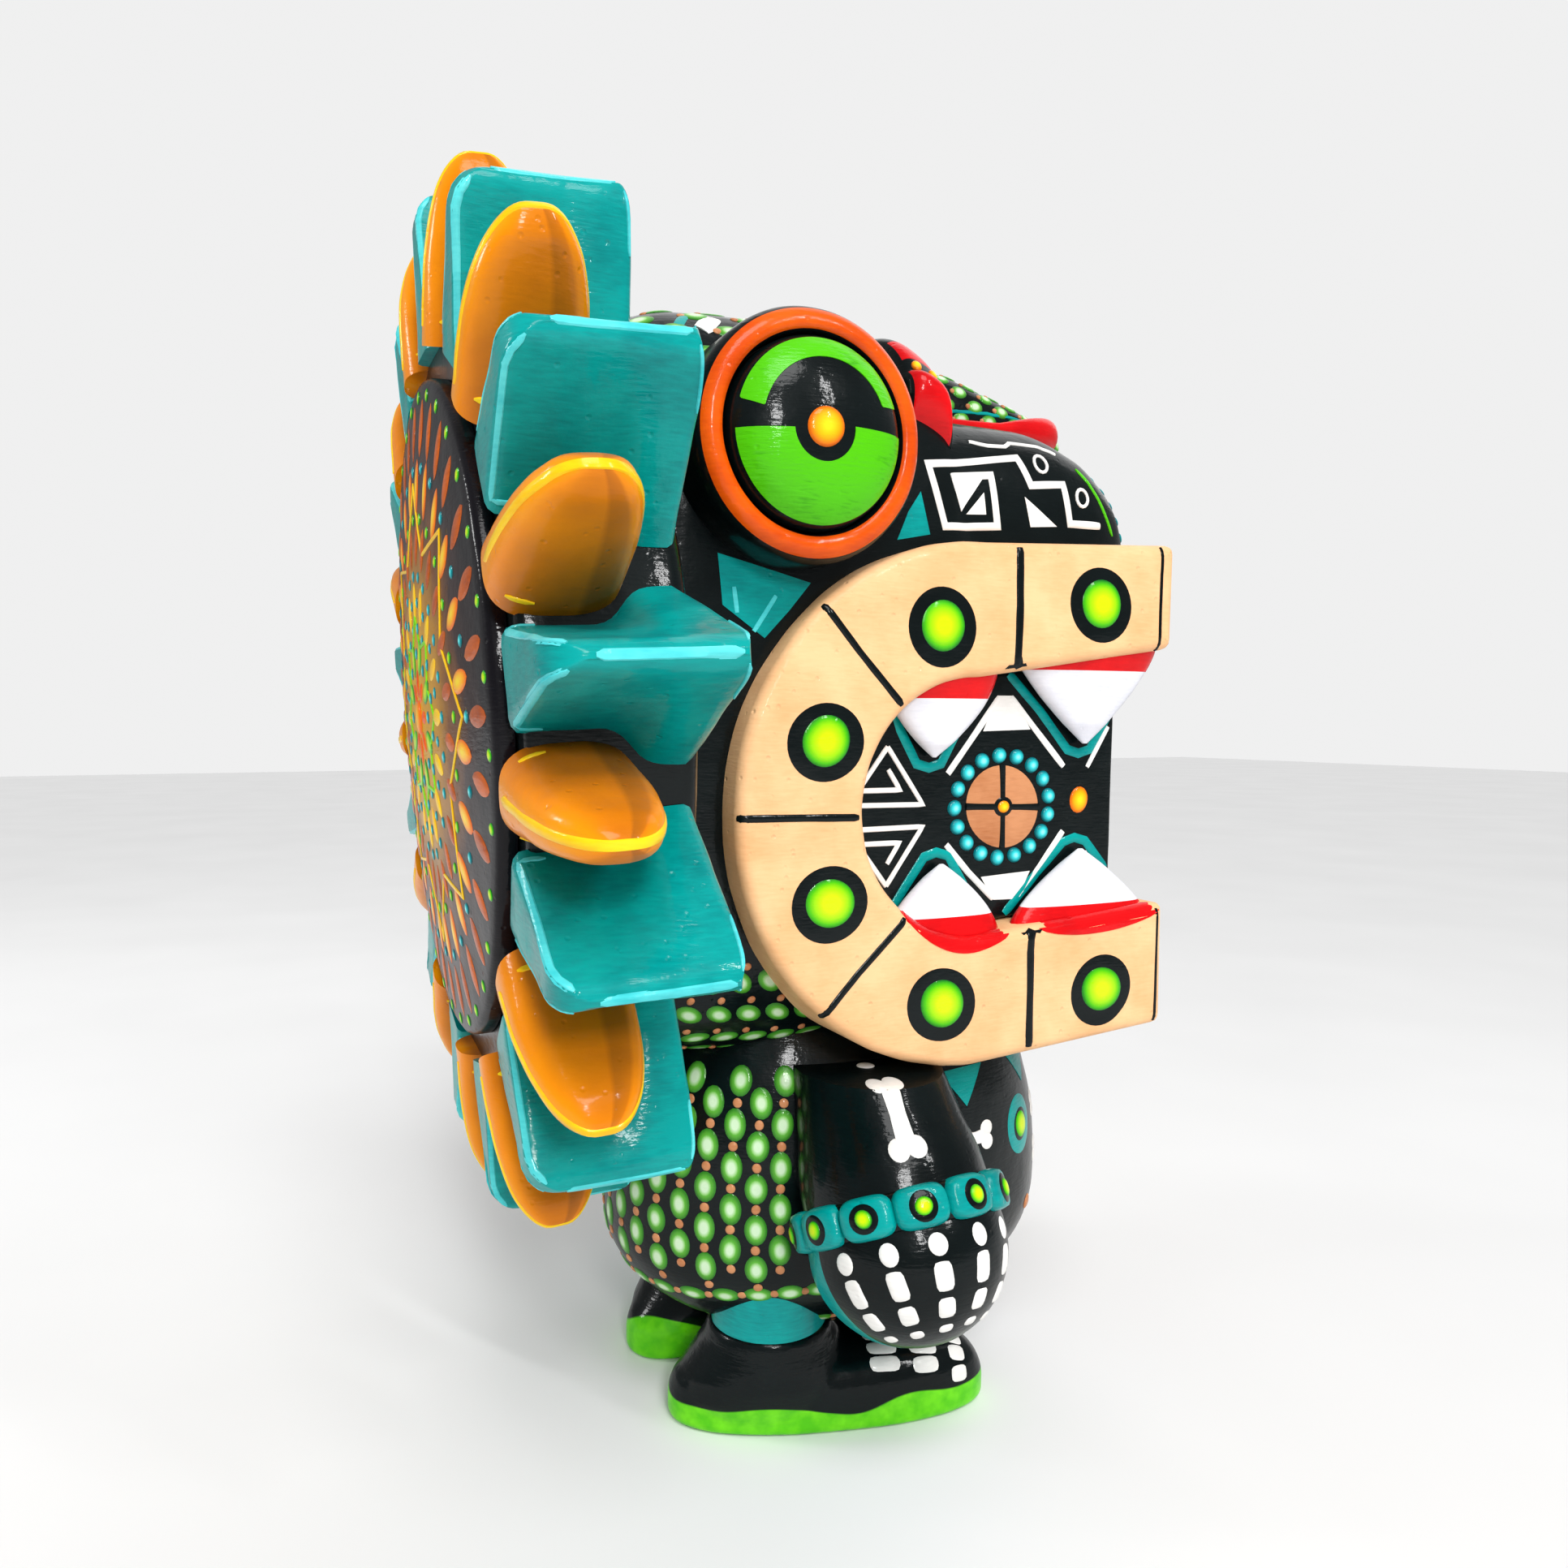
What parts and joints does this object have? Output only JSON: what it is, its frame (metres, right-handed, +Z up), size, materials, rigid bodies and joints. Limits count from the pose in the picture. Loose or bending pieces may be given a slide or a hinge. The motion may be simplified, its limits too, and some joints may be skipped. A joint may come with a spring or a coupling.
{
  "type": "alebrije figure",
  "caption": "Carved and painted plumed-serpent figure standing on shoes, with a round crest of block feathers, domed side eyes and a wide toothed mouth.",
  "frame": {"origin": "centre of the bounding box in plan, at the soles of the shoes", "axes": "+Z up; the figure faces -Y; its right hand is on -X"},
  "size_m": [0.2384, 0.1828, 0.2985],
  "materials": {
    "bare_wood": "bare, sanded",
    "black_paint": "gloss varnish over acrylic paint",
    "flame_paint": "gloss varnish over acrylic paint",
    "green_paint": "gloss varnish over acrylic paint",
    "ochre_paint": "gloss varnish over acrylic paint",
    "orange_paint": "gloss varnish over acrylic paint",
    "peach_paint": "satin acrylic paint",
    "red_paint": "gloss varnish over acrylic paint",
    "teal_paint": "gloss varnish over acrylic paint",
    "white_paint": "satin acrylic paint"
  },
  "bodies": {
    "root": {"feather_teal_01": "teal_paint", "feather_orange_02": "orange_paint", "feather_teal_03": "teal_paint", "feather_orange_04": "orange_paint", "feather_teal_05": "teal_paint", "feather_orange_06": "orange_paint", "feather_teal_07": "teal_paint", "feather_orange_08": "orange_paint", "feather_teal_09": "teal_paint", "feather_orange_10": "orange_paint", "feather_teal_11": "teal_paint", "feather_orange_12": "orange_paint", "feather_teal_13": "teal_paint", "feather_orange_14": "orange_paint", "feather_teal_15": "teal_paint", "feather_orange_16": "orange_paint", "feather_teal_17": "teal_paint", "feather_orange_18": "orange_paint", "feather_teal_19": "teal_paint", "feather_orange_20": "orange_paint", "feather_teal_21": "teal_paint", "feather_orange_22": "orange_paint", "feather_teal_23": "teal_paint", "feather_orange_24": "orange_paint", "feather_teal_25": "teal_paint", "feather_orange_26": "orange_paint", "crest_core": "black_paint", "crest_disc": "ochre_paint", "head_block": "black_paint", "mouth_core": "black_paint", "lip_right": "peach_paint", "lip_left": "peach_paint", "lip_front_upper": "peach_paint", "lip_front_lower": "peach_paint", "tooth_upper_rear_right": "white_paint", "tooth_upper_rear_left": "white_paint", "tooth_upper_front_right": "white_paint", "tooth_upper_front_left": "white_paint", "tooth_lower_rear_right": "white_paint", "tooth_lower_rear_left": "white_paint", "tooth_lower_front_right": "white_paint", "tooth_lower_front_left": "white_paint", "eye_rim_right": "flame_paint", "eye_rim_left": "flame_paint", "eye_dome_right": "green_paint", "eye_dome_left": "green_paint", "brow_bridge": "red_paint", "nose_ridge": "green_paint", "torso": "black_paint", "neck_dowel": "bare_wood", "arm_right": "black_paint", "arm_left": "black_paint", "bracelet_right": "teal_paint", "bracelet_left": "teal_paint", "hand_right": "black_paint", "hand_left": "black_paint", "leg_right": "teal_paint", "leg_left": "teal_paint", "shoe_right": "black_paint", "shoe_left": "black_paint"}
  },
  "joints": []
}
